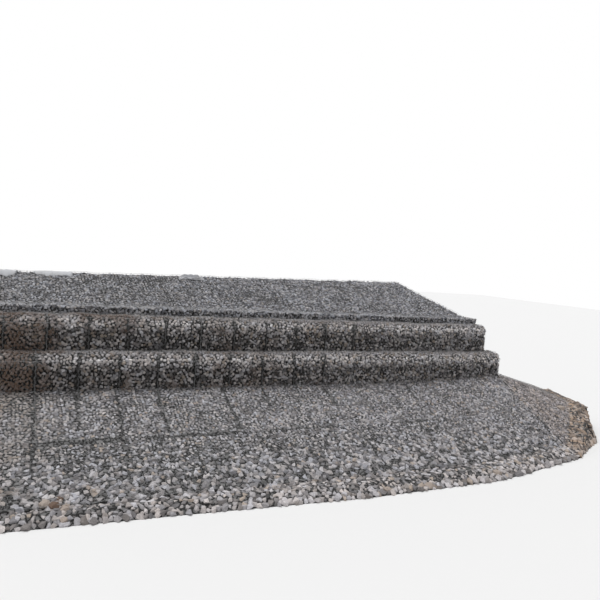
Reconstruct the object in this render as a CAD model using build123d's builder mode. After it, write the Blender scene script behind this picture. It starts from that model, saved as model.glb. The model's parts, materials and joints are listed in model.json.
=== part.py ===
import os
from math import asin, atan, cos, hypot, radians, sin, tan

from build123d import *

# Stone-filled wire baskets that protect a river bank: two courses of boxes stepped back
# from the water, a mattress up the bank above them, and a mattress apron down to the water
# that turns round the end of the wall as a fan.
# X runs along the wall, Y into the bank, Z up. The origin is under the middle of the wall,
# below the face of the lower course, at the level where the toe meets the water.

# Lengths along the wall
CELL = 1000                     # spacing of the diaphragms in every basket
WALL_LENGTH = 16000             # lower course and apron
UPPER_LENGTH = 15700            # the upper course and the mattress on it stop short of that
UPPER_SHIFT = 250               # first diaphragm of the upper course
BANK_SHIFT = 800                # first diaphragm of the mattress above it

# The wall in cross-section
COURSE_HEIGHT = 900
STEP_BACK = 500                 # tread left in front of the next course
UPPER_DEPTH = 1000              # upper course, front to back
TOE_LEDGE = 500                 # the bottom course reaches this far out under the apron
BURIED_COURSES = 2
FACE_SWELL = 45                 # swell of the wire face between two diaphragms
FACE_BELLY = 60                 # swell of the face between its foot and its lip
LIP_ROUND = 150                 # rounded top edge

# Mattresses
MATTRESS_THICK = 230
LID_SWELL = 32                  # swell of the lid between two diaphragms
ROW_WIDTH = 2000                # one row of the apron, measured down the slope
APRON_ROWS = 2
FOOT_HEIGHT = 1600              # foot of the lower course above the water
END_LIFT = 190                  # the last pair of apron mattresses climbs the wall by this
END_TRIM = 450                  # and is cut back by this at the right end
WALL_PLAY = 8                   # room between the climbing apron and the face of the wall
BANK_SLOPE = 20                 # degrees, mattress above the wall
BANK_LEFT = 2100                # its width up the slope at the left end
BANK_RIGHT = 3150               # the same at the right end
BANK_SKEW = 1300                # its right end leans back by this much at the crest

# Loose rock at the water's edge
TOE_REACH = (380, 580, 830, 780, 520)   # end of the apron to the water, at each joint
TOE_SWELL = 95                  # rise of the heap above a straight slope

# Fan round the end of the wall, at each of its seams
FAN_TURNS = (-50, -15, 15)      # degrees from the line of the wall
FAN_LENGTHS = (2450, 2900, 3400)
FAN_END_HEIGHTS = (620, 850, 950)
FAN_WATER = (3350, 3980, 4400)  # from the corner of the wall to the water
FAN_HEAP_SLOPE = 5              # degrees, top of the loose rock round the fan
HEAP_SHOULDER = 0.75            # share of the heap's width at which it turns down
HEAP_DROP = 0.85                # its height there, as a share of that of the fan's end

# Baskets from left to right, counted in cells; the last one takes what is left
LOWER_BOXES = (1, 4, 4, 4)
UPPER_BOXES = (1, 4, 4, 4)
BOTTOM_BOXES = (2, 4, 4, 4)
FOOTING_BOXES = (4, 4, 4)
APRON_BOXES = (4, 4, 4)
BANK_BOXES = (2, 4, 4)

# Filter cloth under the upper mattress
CLOTH_THICK = 5
CLOTH_RISE = 200                # turned up against the back of the crest
FOLD_AT = 5750                  # middle of the bunched fold, from the left end
FOLD_LENGTH = 760
FOLD_WIDTH = 300
FOLD_HEIGHT = 110
FOLD_PLAY = 0.3                 # cloth to the lid of the mattress under it

# Place along the fold and size of each cross-section, as shares of the whole
FOLD_SHAPE = ((-0.5, 0.3), (-0.32, 0.85), (-0.1, 1), (0.12, 0.75), (0.3, 0.9), (0.5, 0.35))

# Corners of the cross-section, as shares of the width and the height
FOLD_SECTION = ((-0.5, 0), (-0.38, 0.55), (-0.2, 0.95), (0, 0.7), (0.2, 1), (0.42, 0.5), (0.5, 0))

MIDDLE = WALL_LENGTH / 2
WALL_END = WALL_LENGTH - MIDDLE
WALL_BACK = STEP_BACK + UPPER_DEPTH
BURIED_HEIGHT = FOOT_HEIGHT / BURIED_COURSES
UPPER_FLOOR = FOOT_HEIGHT + COURSE_HEIGHT
WALL_TOP = UPPER_FLOOR + COURSE_HEIGHT
BANK_FRONT = 2 * STEP_BACK
APRON_WIDTH = APRON_ROWS * ROW_WIDTH

os.makedirs("parts", exist_ok=True)


def finish(piece, name):
    piece.part.label = name
    export_step(piece.part, f"parts/{name}.step")


# Joints between baskets, and the lines where a diaphragm ties the wire back

def joints(length, shift, box_cells):
    places = [0]
    cells = 0
    for count in box_cells:
        cells += count
        place = shift + cells * CELL
        if place < length - CELL / 4:
            places.append(place)
    return places + [length]


def tie_lines(start, stop, shift):
    lines = [start]
    place = shift
    while place < stop - CELL / 8:
        if place > start + CELL / 8:
            lines.append(place)
        place += CELL
    return lines + [stop]


def swollen_edge(lines, level, swell):
    for left, right in zip(lines, lines[1:]):
        share = (right - left) / CELL
        crown = ((left + right) / 2 - MIDDLE, level + swell * share**2)
        ThreePointArc((left - MIDDLE, level), crown, (right - MIDDLE, level))


# Wall boxes: a plan with one arc to a cell, cut to a cross-section with a belly and a lip

def course(name, length, shift, box_cells, front, floor):
    places = joints(length, shift, box_cells)
    top = floor + COURSE_HEIGHT
    inset = LIP_ROUND * (1 - cos(radians(45)))
    for number, (start, stop) in enumerate(zip(places, places[1:]), 1):
        left, right = start - MIDDLE, stop - MIDDLE
        with BuildPart() as box:
            with BuildSketch(Plane.XY.offset(floor)):
                with BuildLine():
                    swollen_edge(tie_lines(start, stop, shift), front, -FACE_SWELL)
                    Polyline((right, front), (right, WALL_BACK), (left, WALL_BACK), (left, front))
                make_face()
            extrude(amount=COURSE_HEIGHT)
            with BuildSketch(Plane.YZ.offset(left)):
                with BuildLine():
                    belly = (front - FACE_BELLY, (floor + top - LIP_ROUND) / 2)
                    ThreePointArc((front, floor), belly, (front, top - LIP_ROUND))
                    knee = (front + inset, top - inset)
                    ThreePointArc((front, top - LIP_ROUND), knee, (front + LIP_ROUND, top))
                    Polyline(
                        (front + LIP_ROUND, top),
                        (WALL_BACK, top),
                        (WALL_BACK, floor),
                        (front, floor),
                    )
                make_face()
            extrude(amount=right - left, mode=Mode.INTERSECT)
        finish(box, f"{name}_{number}")


course("lower_course_box", WALL_LENGTH, 0, LOWER_BOXES, 0, FOOT_HEIGHT)
course("upper_course_box", UPPER_LENGTH, UPPER_SHIFT, UPPER_BOXES, STEP_BACK, UPPER_FLOOR)


# Buried courses that carry the wall down to the level of the toe

def buried_course(name, box_cells, front, floor):
    places = joints(WALL_LENGTH, 0, box_cells)
    for number, (start, stop) in enumerate(zip(places, places[1:]), 1):
        with BuildPart() as box:
            with BuildSketch(Plane.XY.offset(floor)):
                with Locations(((start + stop) / 2 - MIDDLE, (front + WALL_BACK) / 2)):
                    Rectangle(stop - start, WALL_BACK - front)
            extrude(amount=BURIED_HEIGHT)
        finish(box, f"{name}_{number}")


buried_course("bottom_course_box", BOTTOM_BOXES, -TOE_LEDGE, 0)
buried_course("footing_course_box", FOOTING_BOXES, 0, BURIED_HEIGHT)


# Apron: its slope follows from its width and from the height of its head above the water

APRON_JOINTS = joints(WALL_LENGTH, 0, APRON_BOXES)
LIFT_START = APRON_JOINTS[-2]


def end_share(station):
    return max(0, (station - LIFT_START) / (WALL_LENGTH - LIFT_START))


def apron_width(station):
    return APRON_WIDTH - END_TRIM * end_share(station)


def apron_head(station):
    return FOOT_HEIGHT + END_LIFT * end_share(station)


def apron_slope(station):
    width = apron_width(station)
    return asin(apron_head(station) / hypot(width, MATTRESS_THICK)) - atan(MATTRESS_THICK / width)


def apron_point(station, down, rise):
    slope = apron_slope(station)
    y = -down * cos(slope) - rise * sin(slope)
    z = apron_head(station) - down * sin(slope) + rise * cos(slope)
    return y, z


def level_mattress(start, stop, row):
    slope = apron_slope(start)
    above = MATTRESS_THICK if row == 0 else 0
    y, z = apron_point(start, row * ROW_WIDTH - above, 0)
    down_slope = Plane((0, y, z), x_dir=(1, 0, 0), z_dir=(0, -cos(slope), -sin(slope)))
    left, right = start - MIDDLE, stop - MIDDLE
    with BuildPart() as mattress:
        with BuildSketch(down_slope):
            with BuildLine():
                swollen_edge(tie_lines(start, stop, 0), -LID_SWELL, LID_SWELL)
                Polyline(
                    (right, -LID_SWELL),
                    (right, -MATTRESS_THICK),
                    (left, -MATTRESS_THICK),
                    (left, -LID_SWELL),
                )
            make_face()
        extrude(amount=ROW_WIDTH + above)
        if row == 0:
            split(bisect_by=Plane.XZ, keep=Keep.TOP)
    return mattress


# Where the apron climbs the wall it twists, so it is lofted from section to section

def wall_face(station):
    lift = apron_head(station) - FOOT_HEIGHT
    chord = COURSE_HEIGHT - LIP_ROUND
    radius = (chord**2 / 4 + FACE_BELLY**2) / (2 * FACE_BELLY)
    belly = (radius**2 - (lift - chord / 2) ** 2) ** 0.5 - (radius - FACE_BELLY)
    return -min(belly, FACE_SWELL) - WALL_PLAY * end_share(station)


def climbing_section(station, row, dip):
    width = apron_width(station)
    slope = apron_slope(station)
    if row == 0:
        face = wall_face(station)
        crest = apron_head(station) + face * tan(slope)
        head = (face, crest - dip / cos(slope))
        heel = (face, crest - MATTRESS_THICK / cos(slope))
        near, far = 0, ROW_WIDTH
    else:
        near, far = ROW_WIDTH, width
        head = apron_point(station, near, -dip)
        heel = apron_point(station, near, -MATTRESS_THICK)
    tip = apron_point(station, far, -dip)
    Polyline(head, tip, apron_point(station, far, -MATTRESS_THICK), heel, close=True)


def lid_sections(start, stop):
    lines = tie_lines(start, stop, 0)
    sections = [(start, LID_SWELL)]
    for left, right in zip(lines, lines[1:]):
        sections += [((left + right) / 2, 0), (right, LID_SWELL)]
    return sections


def climbing_mattress(start, stop, row):
    with BuildPart() as mattress:
        for station, dip in lid_sections(start, stop):
            with BuildSketch(Plane.YZ.offset(station - MIDDLE)):
                with BuildLine():
                    climbing_section(station, row, dip)
                make_face()
        loft(ruled=True)
    return mattress


for row, strip in ((0, "apron_upper_mattress"), (1, "apron_lower_mattress")):
    for number, (start, stop) in enumerate(zip(APRON_JOINTS, APRON_JOINTS[1:]), 1):
        if end_share(stop) > 0:
            finish(climbing_mattress(start, stop, row), f"{strip}_{number}")
        else:
            finish(level_mattress(start, stop, row), f"{strip}_{number}")


# Loose rock heaped against the end of the apron, down to the water

def toe_reach(station):
    bay = 0
    while station > APRON_JOINTS[bay + 1]:
        bay += 1
    share = (station - APRON_JOINTS[bay]) / (APRON_JOINTS[bay + 1] - APRON_JOINTS[bay])
    return TOE_REACH[bay] + (TOE_REACH[bay + 1] - TOE_REACH[bay]) * share


def toe_section(station, dip):
    width = apron_width(station)
    head = apron_point(station, width, -dip)
    tip = (head[0] - toe_reach(station), 0)
    shoulder = ((head[0] + tip[0]) / 2, head[1] / 2 + TOE_SWELL)
    Polyline(head, shoulder, tip, apron_point(station, width, -MATTRESS_THICK), close=True)


for number, (start, stop) in enumerate(zip(APRON_JOINTS, APRON_JOINTS[1:]), 1):
    with BuildPart() as toe:
        level = [(start, LID_SWELL), (stop, LID_SWELL)]
        for station, dip in lid_sections(start, stop) if end_share(stop) > 0 else level:
            with BuildSketch(Plane.YZ.offset(station - MIDDLE)):
                with BuildLine():
                    toe_section(station, dip)
                make_face()
        loft(ruled=True)
    finish(toe, f"toe_rock_{number}")


# Fan: wedges cut in plan and trimmed to a tilted lid and bed, with rock heaped outside them

def polar(turn, reach, height):
    return Vector(WALL_END + reach * cos(radians(turn)), reach * sin(radians(turn)), height)


def first_seam():
    y, z = apron_point(WALL_LENGTH, apron_width(WALL_LENGTH), 0)
    return -90, -y, z, TOE_REACH[-1] - y


def plan_prism(corners, height):
    with BuildPart(mode=Mode.PRIVATE) as prism:
        with BuildSketch():
            with BuildLine():
                Polyline(*[(corner.X, corner.Y) for corner in corners], close=True)
            make_face()
        extrude(amount=height)
    return prism.part


def tilted(point, along, slope_point):
    across = along - point
    normal = across.cross(slope_point - point)
    if normal.Z < 0:
        normal = -normal
    return Plane(point, x_dir=across, z_dir=normal)


SEAMS = (first_seam(), *zip(FAN_TURNS, FAN_LENGTHS, FAN_END_HEIGHTS, FAN_WATER))
APEX = Vector(WALL_END, 0, apron_head(WALL_LENGTH))
for number, (near, far) in enumerate(zip(SEAMS, SEAMS[1:]), 1):
    near_end = polar(near[0], near[1], near[2])
    far_end = polar(far[0], far[1], far[2])
    near_water = polar(near[0], near[3], 0)
    far_water = polar(far[0], far[3], 0)
    lid = tilted(near_end, far_end, APEX)
    with BuildPart() as wedge:
        add(plan_prism((APEX, near_end, far_end), APEX.Z + MATTRESS_THICK))
        split(bisect_by=lid, keep=Keep.BOTTOM)
        split(bisect_by=lid.offset(-MATTRESS_THICK), keep=Keep.TOP)
    finish(wedge, f"fan_wedge_{number}")
    outward = (near_water + far_water - near_end - far_end).normalized()
    outward = Vector(outward.X, outward.Y, -tan(radians(FAN_HEAP_SLOPE)))
    shoulder = near_end + (near_water - near_end) * HEAP_SHOULDER
    shoulder = Vector(shoulder.X, shoulder.Y, near_end.Z * HEAP_DROP)
    with BuildPart() as heap:
        add(plan_prism((near_end, near_water, far_water, far_end), max(near_end.Z, far_end.Z)))
        split(bisect_by=tilted(near_end, far_end, near_end + outward), keep=Keep.BOTTOM)
        split(bisect_by=tilted(near_water, far_water, shoulder), keep=Keep.BOTTOM)
    finish(heap, f"fan_toe_rock_{number}")


# Mattress above the wall: a strip lies on the upper course, the rest goes up the bank.
# One lid profile is drawn at the bend and pulled both ways from the mitre

BANK_RISE = radians(BANK_SLOPE)
UP_SLOPE = Vector(0, cos(BANK_RISE), sin(BANK_RISE))
TOP_DROP = MATTRESS_THICK - LID_SWELL
LONGEST = 2 * max(BANK_LEFT, BANK_RIGHT)


def bank_width(station):
    return BANK_LEFT + (BANK_RIGHT - BANK_LEFT) * station / UPPER_LENGTH


def bank_point(station, up, rise):
    y = WALL_BACK + up * cos(BANK_RISE) - rise * sin(BANK_RISE)
    z = WALL_TOP + up * sin(BANK_RISE) + rise * cos(BANK_RISE)
    return Vector(station - MIDDLE, y, z)


def crest_plane(beyond):
    left = bank_point(0, bank_width(0) + beyond, 0)
    right = bank_point(UPPER_LENGTH, bank_width(UPPER_LENGTH) + beyond, 0)
    above = bank_point(0, bank_width(0) + beyond, MATTRESS_THICK)
    return Plane(left, x_dir=right - left, z_dir=(above - left).cross(right - left))


def skewed_end():
    foot = Vector(UPPER_LENGTH - MIDDLE, BANK_FRONT, 0)
    crest = bank_point(UPPER_LENGTH - BANK_SKEW, bank_width(UPPER_LENGTH - BANK_SKEW), 0)
    along = Vector(crest.X - foot.X, crest.Y - foot.Y, 0)
    return Plane(foot, x_dir=along, z_dir=along.cross(Vector(0, 0, 1)))


def pulled_lid(start, stop, plane, length):
    left, right = start - MIDDLE, stop - MIDDLE
    with BuildPart(mode=Mode.PRIVATE) as strip:
        with BuildSketch(plane):
            with BuildLine():
                swollen_edge(tie_lines(start, stop, BANK_SHIFT), TOP_DROP, LID_SWELL)
                Polyline((right, TOP_DROP), (right, 0), (left, 0), (left, TOP_DROP))
            make_face()
        extrude(amount=length)
    return strip.part


PAST_BEND = MATTRESS_THICK
CREST_END = Plane(bank_point(MIDDLE, LONGEST, 0), x_dir=(1, 0, 0), z_dir=-UP_SLOPE)
BACK_END = Plane((0, WALL_BACK + PAST_BEND, WALL_TOP), x_dir=(1, 0, 0), z_dir=(0, -1, 0))
MITRE = Plane((0, WALL_BACK, WALL_TOP), z_dir=(0, cos(BANK_RISE / 2), sin(BANK_RISE / 2)))
places = joints(UPPER_LENGTH, BANK_SHIFT, BANK_BOXES)
for number, (start, stop) in enumerate(zip(places, places[1:]), 1):
    with BuildPart() as level:
        add(pulled_lid(start, stop, BACK_END, WALL_BACK + PAST_BEND - BANK_FRONT))
        split(bisect_by=MITRE, keep=Keep.BOTTOM)
    with BuildPart() as mattress:
        add(pulled_lid(start, stop, CREST_END, LONGEST + PAST_BEND))
        split(bisect_by=MITRE, keep=Keep.TOP)
        split(bisect_by=crest_plane(0), keep=Keep.BOTTOM)
        add(level.part)
        if number == len(places) - 1:
            split(bisect_by=skewed_end(), keep=Keep.BOTTOM)
    finish(mattress, f"bank_mattress_{number}")


# Filter cloth between that mattress and the bank, turned up behind the crest

def cloth_block(rise):
    corners = [bank_point(0, up, at) for up, at in (
        (0, -CLOTH_THICK), (LONGEST, -CLOTH_THICK), (LONGEST, rise), (0, rise))]
    with BuildPart(mode=Mode.PRIVATE) as block:
        with BuildSketch(Plane.YZ.offset(-MIDDLE)):
            with BuildLine():
                Polyline(*[(corner.Y, corner.Z) for corner in corners], close=True)
            make_face()
        extrude(amount=UPPER_LENGTH)
        split(bisect_by=crest_plane(CLOTH_THICK), keep=Keep.BOTTOM)
        split(bisect_by=skewed_end(), keep=Keep.BOTTOM)
    return block.part


with BuildPart() as turned_up:
    add(cloth_block(CLOTH_RISE))
    split(bisect_by=crest_plane(0), keep=Keep.TOP)
with BuildPart() as cloth:
    add(cloth_block(0))
    split(bisect_by=Plane.XZ.offset(-WALL_BACK), keep=Keep.BOTTOM)
    add(turned_up.part)
finish(cloth, "filter_cloth")


# White cloth bunched up into a fold on the crest of that mattress

def lid_rise(station):
    off_tie = abs((station - BANK_SHIFT + CELL / 2) % CELL - CELL / 2)
    return TOP_DROP + LID_SWELL * (1 - (1 - 2 * off_tie / CELL) ** 2)


FOLD_BED = FOLD_PLAY + max(lid_rise(FOLD_AT + along * FOLD_LENGTH) for along, size in FOLD_SHAPE)
FOLD_MIDDLE = bank_width(FOLD_AT) - FOLD_WIDTH / 2
with BuildPart() as fold:
    for along, size in FOLD_SHAPE:
        foot = bank_point(FOLD_AT + along * FOLD_LENGTH, FOLD_MIDDLE, FOLD_BED)
        corners = [(size * FOLD_WIDTH * across, size * FOLD_HEIGHT * rise) for across, rise in FOLD_SECTION]
        with BuildSketch(Plane(foot, x_dir=UP_SLOPE, z_dir=(1, 0, 0))):
            with BuildLine():
                Polyline(*corners, close=True)
            make_face()
    loft(ruled=True)
finish(fold, "cloth_fold")
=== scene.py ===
# %% [markdown]
# # A stone-filled wire mattress and its stepped wall
# The real thing is a river bank armoured with baskets of galvanised wire mesh, each packed
# with crushed stone: two courses of boxes, a thin mattress up the bank above them, and a
# mattress apron that runs down to the water and turns round the end of the wall.
# The CAD frame holds the true shape of every basket. This script dresses it: stones, the
# mesh over them, the thicker edge wires and the rings that lace the baskets together.

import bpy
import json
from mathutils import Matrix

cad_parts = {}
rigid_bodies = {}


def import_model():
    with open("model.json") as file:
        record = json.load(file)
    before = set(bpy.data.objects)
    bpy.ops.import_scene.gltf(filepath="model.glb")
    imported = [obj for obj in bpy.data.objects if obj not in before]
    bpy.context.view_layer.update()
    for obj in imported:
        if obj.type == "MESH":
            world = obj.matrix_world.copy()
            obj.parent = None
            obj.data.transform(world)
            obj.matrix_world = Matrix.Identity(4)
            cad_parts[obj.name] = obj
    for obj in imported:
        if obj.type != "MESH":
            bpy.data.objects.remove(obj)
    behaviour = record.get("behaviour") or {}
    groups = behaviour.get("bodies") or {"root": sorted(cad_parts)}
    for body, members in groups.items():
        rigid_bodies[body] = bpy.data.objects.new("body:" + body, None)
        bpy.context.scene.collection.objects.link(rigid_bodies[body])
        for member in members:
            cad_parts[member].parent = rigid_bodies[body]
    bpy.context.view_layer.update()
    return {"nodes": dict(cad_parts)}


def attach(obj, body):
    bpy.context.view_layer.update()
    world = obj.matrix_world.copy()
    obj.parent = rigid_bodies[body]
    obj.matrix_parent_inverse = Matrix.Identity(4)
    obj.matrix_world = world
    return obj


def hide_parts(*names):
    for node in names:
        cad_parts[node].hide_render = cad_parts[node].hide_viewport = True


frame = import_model()
print(len(frame["nodes"]), "baskets, heaps and cloths in the frame")

# %% [markdown]
# The rest of the imports, and the sizes that every step shares, in metres above the water
# and along the wall. A gabion has a diaphragm every metre, so one metre is the rhythm of
# the whole object. The mattress on the bank widens from left to right and ends on a slant.
# FAR lies beyond everything here, and HAIR is too small to see.

# %% Shared numbers
import json
from collections import namedtuple
from math import atan2, cos, hypot, pi, radians, sin

import bmesh
import bpy
import numpy as np
from mathutils import Matrix, Vector

CELL = 1.0
WALL_LEFT = -8.0
WALL_RIGHT = 8.0
COURSE_HEIGHT = 0.9
LIP_ROUND = 0.15
STEP_BACK = 0.5
FOOT_HEIGHT = 1.6
UPPER_FLOOR = FOOT_HEIGHT + COURSE_HEIGHT
WALL_TOP = UPPER_FLOOR + COURSE_HEIGHT
WALL_BACK = 1.5
BANK_FRONT = 1.0
BANK_RISE = radians(20)
BANK_LEFT = 2.1
BANK_RIGHT = 3.15
BANK_SKEW = 1.3
UPPER_LENGTH = 15.7
MATTRESS_HEIGHT = 0.2
MATTRESS_LID = 0.198
LID_SWELL = 0.032
FAR = 99
HAIR = 0.01
scene = bpy.context.scene
print("wall from", WALL_LEFT, "to", WALL_RIGHT)

# %% [markdown]
# Node trees are built here in code, so small helpers pay for themselves. The first adds a
# node and fills its inputs, by value or by a link from another node. The others are the
# nodes that come up again and again.

# %% Helpers for all node trees
def put(tree, kind, inputs=None, **settings):
    node = tree.nodes.new(kind)
    for name, value in settings.items():
        setattr(node, name, value)
    for key, value in (inputs or {}).items():
        if isinstance(key, str):
            socket = next(s for s in node.inputs if s.name == key and s.enabled)
        else:
            socket = node.inputs[key]
        if isinstance(value, bpy.types.NodeSocket):
            tree.links.new(value, socket)
        else:
            socket.default_value = value
    return node


def maths(tree, operation, first, second=0.0, third=0.0):
    return put(tree, "ShaderNodeMath", {0: first, 1: second, 2: third}, operation=operation).outputs[0]


def remap(tree, value, low, high, to_low=0.0, to_high=1.0, **settings):
    inputs = {0: value, 1: low, 2: high, 3: to_low, 4: to_high}
    return put(tree, "ShaderNodeMapRange", inputs, **settings).outputs[0]


def noise(tree, coords, scale, detail, roughness=0.5):
    return put(tree, "ShaderNodeTexNoise", {
        "Vector": coords, "Scale": scale, "Detail": detail, "Roughness": roughness}).outputs[0]


def axes_of(tree, vector):
    return put(tree, "ShaderNodeSeparateXYZ", {0: vector}).outputs


def blend_colour(tree, share, first, second, blend="MIX"):
    inputs = {0: share, 6: first, 7: second}
    return put(tree, "ShaderNodeMix", inputs, data_type="RGBA", blend_type=blend).outputs[2]


def grey(tree, value):
    return put(tree, "ShaderNodeCombineColor", {0: value, 1: value, 2: value}).outputs[0]


def new_tree(name, kind, inputs, outputs):
    tree = bpy.data.node_groups.new(name, kind)
    for way, sockets in (("INPUT", inputs), ("OUTPUT", outputs)):
        for socket, labels in sockets.items():
            for label in labels:
                tree.interface.new_socket(label, in_out=way, socket_type="NodeSocket" + socket)
    return tree, tree.nodes.new("NodeGroupInput").outputs, tree.nodes.new("NodeGroupOutput").inputs


def add_object(name, data):
    thing = bpy.data.objects.new(name, data)
    scene.collection.objects.link(thing)
    return thing


print("helpers ready")

# %% [markdown]
# The camera stands where the photographer stood: on the far side of a bend, a little above
# the crest, with the frame tipped slightly. Building the camera's matrix from three axes
# says this more plainly than three angles do.

# %% Camera
CAMERA_AT = Vector((-7.672, -15.791, 5.373))
HEADING = 0.45409
TILT_DOWN = 0.07057
ROLL = 0.07732

forward = Vector((sin(HEADING) * cos(TILT_DOWN), cos(HEADING) * cos(TILT_DOWN), -sin(TILT_DOWN)))
sideways = Vector((cos(HEADING), -sin(HEADING), 0))
above = sideways.cross(forward)
right = sideways * cos(ROLL) + above * sin(ROLL)
top = above * cos(ROLL) - sideways * sin(ROLL)
camera = add_object("camera", bpy.data.cameras.new("camera"))
turned = Matrix((right, top, -forward)).transposed().to_4x4()
camera.matrix_world = Matrix.Translation(CAMERA_AT) @ turned
camera.data.lens = 36
camera.data.sensor_width = 36
camera.data.clip_end = 500
scene.camera = camera
scene.view_settings.view_transform = "Standard"
print("camera", [round(c, 2) for c in camera.location])

# %% [markdown]
# Plain studio light. A wide sun from nearly overhead leaves the upright faces in their own
# shade and catches the rounded lips, as a bright cloudy sky does, and the world fills the
# rest evenly. The floor is pale, and rays that come straight from the camera, or by a
# mirror or a pane, see white behind it.

# %% Light and floor
SUN_STRENGTH = 1.7
SKY_STRENGTH = 0.62
FLOOR_REACH = 90

sun = add_object("sun", bpy.data.lights.new("sun", "SUN"))
sun.data.energy = SUN_STRENGTH
sun.data.angle = radians(25)
sun.rotation_euler = (radians(-12), radians(-14), 0)

world = bpy.data.worlds.new("studio")
scene.world = world
world.use_nodes = True
sky = world.node_tree
sky.nodes.clear()
light_path = put(sky, "ShaderNodeLightPath").outputs
mirrored = maths(sky, "MAXIMUM", light_path["Is Glossy Ray"], light_path["Is Transmission Ray"])
seen = maths(sky, "MAXIMUM", light_path["Is Camera Ray"], mirrored)
fill, white = [
    put(sky, "ShaderNodeBackground", {"Color": (1, 1, 1, 1), "Strength": strength}).outputs[0]
    for strength in (SKY_STRENGTH, 1.0)]
shown = put(sky, "ShaderNodeMixShader", {0: seen, 1: fill, 2: white}).outputs[0]
put(sky, "ShaderNodeOutputWorld", {0: shown})

floor_mesh = bpy.data.meshes.new("floor")
floor_mesh.from_pydata([(x * FLOOR_REACH, y * FLOOR_REACH, 0) for x, y in (
    (-1, -1), (1, -1), (1, 1), (-1, 1))], [], [(0, 1, 2, 3)])
floor = add_object("floor", floor_mesh)
print("sun", SUN_STRENGTH, "sky", SKY_STRENGTH)

# %% [markdown]
# Crushed stone is angular: a few flat faces that meet at blunt corners. Eight points spread
# over a slightly boxy ball and shaken, then wrapped in their convex hull, give just that
# with a dozen triangles. Nine different stones are enough, because each copy is turned and
# stretched.

# %% Stone shapes
STONE_SHAPES = 9
STONE_CORNERS = 8
STONE_SEED = 100
GOLDEN_TURN = pi * (3 - 5 ** 0.5)
CORNER_SHAKE = 0.2
BOXINESS = 5
LEAST_REACH = 0.82

stone_shapes = bpy.data.collections.new("stone_shapes")
scene.collection.children.link(stone_shapes)


def angular_stone(name, seed, corners, size=(1, 1, 1), centre=(0, 0, 0)):
    draw = np.random.default_rng(seed)
    stone = bmesh.new()
    for k in range(corners):
        z = 1 - 2 * (k + 0.5) / corners
        ring = (1 - z * z) ** 0.5
        even = np.array([ring * cos(GOLDEN_TURN * k), ring * sin(GOLDEN_TURN * k), z])
        spot = even + draw.normal(0, CORNER_SHAKE, 3)
        spot /= 2 * (np.abs(spot) ** BOXINESS).sum() ** (1 / BOXINESS)
        stone.verts.new(spot * draw.uniform(LEAST_REACH, 1.0) * np.array(size) + np.array(centre))
    hull = bmesh.ops.convex_hull(stone, input=stone.verts)
    inner = [g for g in hull["geom_interior"] if isinstance(g, bmesh.types.BMVert)]
    bmesh.ops.delete(stone, geom=inner)
    bmesh.ops.recalc_face_normals(stone, faces=stone.faces)
    mesh = bpy.data.meshes.new(name)
    stone.to_mesh(mesh)
    stone.free()
    return mesh


for number in range(STONE_SHAPES):
    mesh = angular_stone(f"stone_shape_{number}", STONE_SEED + number, STONE_CORNERS)
    stone_shapes.objects.link(bpy.data.objects.new(mesh.name, mesh))
print("faces per stone", [len(shape.data.polygons) for shape in stone_shapes.objects])

# %% [markdown]
# Geometry Nodes make all that repeats here. A tree starts with named inputs and ends with
# its copies made real and painted. To use one, a skin gets the tree as a modifier, its
# inputs are set by their identifiers, and the evaluated result becomes a plain mesh.

# %% Helpers for geometry trees
def geometry_tree(name, inputs):
    whole = {"Geometry": ("Geometry",)}
    return new_tree(name, "GeometryNodeTree", {**whole, **inputs}, whole)


def finish_tree(tree, result, geometry, material):
    real = put(tree, "GeometryNodeRealizeInstances", {0: geometry}).outputs[0]
    painted = put(tree, "GeometryNodeSetMaterial", {"Geometry": real, "Material": material})
    tree.links.new(painted.outputs[0], result[0])


def field(tree, what):
    return put(tree, "GeometryNodeInput" + what).outputs[0]


def vector(tree, x=0.0, y=0.0, z=0.0):
    return put(tree, "ShaderNodeCombineXYZ", {0: x, 1: y, 2: z}).outputs[0]


def scaled(tree, arrow, amount):
    return put(tree, "ShaderNodeVectorMath", {0: arrow, "Scale": amount}, operation="SCALE").outputs[0]


def moved(tree, geometry, **how):
    return put(tree, "GeometryNodeSetPosition", {"Geometry": geometry, **how}).outputs[0]


def store(tree, geometry, name, value, kind="FLOAT", domain="POINT"):
    return put(tree, "GeometryNodeStoreNamedAttribute", {
        "Geometry": geometry, "Name": name, "Value": value}, data_type=kind, domain=domain).outputs[0]


def stored(tree, name, kind="FLOAT"):
    return put(tree, "GeometryNodeInputNamedAttribute", {"Name": name}, data_type=kind).outputs[0]


def thicken(tree, curve, sides, radius, caps=True):
    section = put(tree, "GeometryNodeCurvePrimitiveCircle", {"Resolution": sides, "Radius": radius})
    return put(tree, "GeometryNodeCurveToMesh", {
        "Curve": curve, "Profile Curve": section.outputs[0], "Fill Caps": caps}).outputs[0]


def joined(tree, *parts):
    whole = put(tree, "GeometryNodeJoinGeometry")
    for part in parts:
        tree.links.new(part, whole.inputs[0])
    return whole.outputs[0]


def plain_piece(guide):
    name = guide.name
    bpy.context.view_layer.update()
    done = guide.evaluated_get(bpy.context.evaluated_depsgraph_get())
    plain = bpy.data.meshes.new_from_object(done)
    guide.modifiers.clear()
    bpy.data.objects.remove(guide)
    return add_object(name, plain)


def grow(name, skin, tree, values):
    guide = add_object(name, skin)
    modifier = guide.modifiers.new("grow", "NODES")
    modifier.node_group = tree
    for item in tree.interface.items_tree:
        if item.in_out == "INPUT" and item.name in values:
            modifier[item.identifier] = values[item.name]
    return plain_piece(guide)


print("helpers for geometry ready")

# %% [markdown]
# Loose fill settles, so no basket keeps a straight edge for long. One small group gives the
# settlement at a spot, a slow wave of a few centimetres that is the same wherever it is
# asked for. Stones, net and edge wires all ask it, and so they sag together.

# %% Tree: settlement
MATTRESS_SETTLING = 0.012
COURSE_SETTLING = 0.03
WAVE_SCALE = 1.1
WAVE_SWING = 5.0
WAVE_DROP = -1.7

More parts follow.
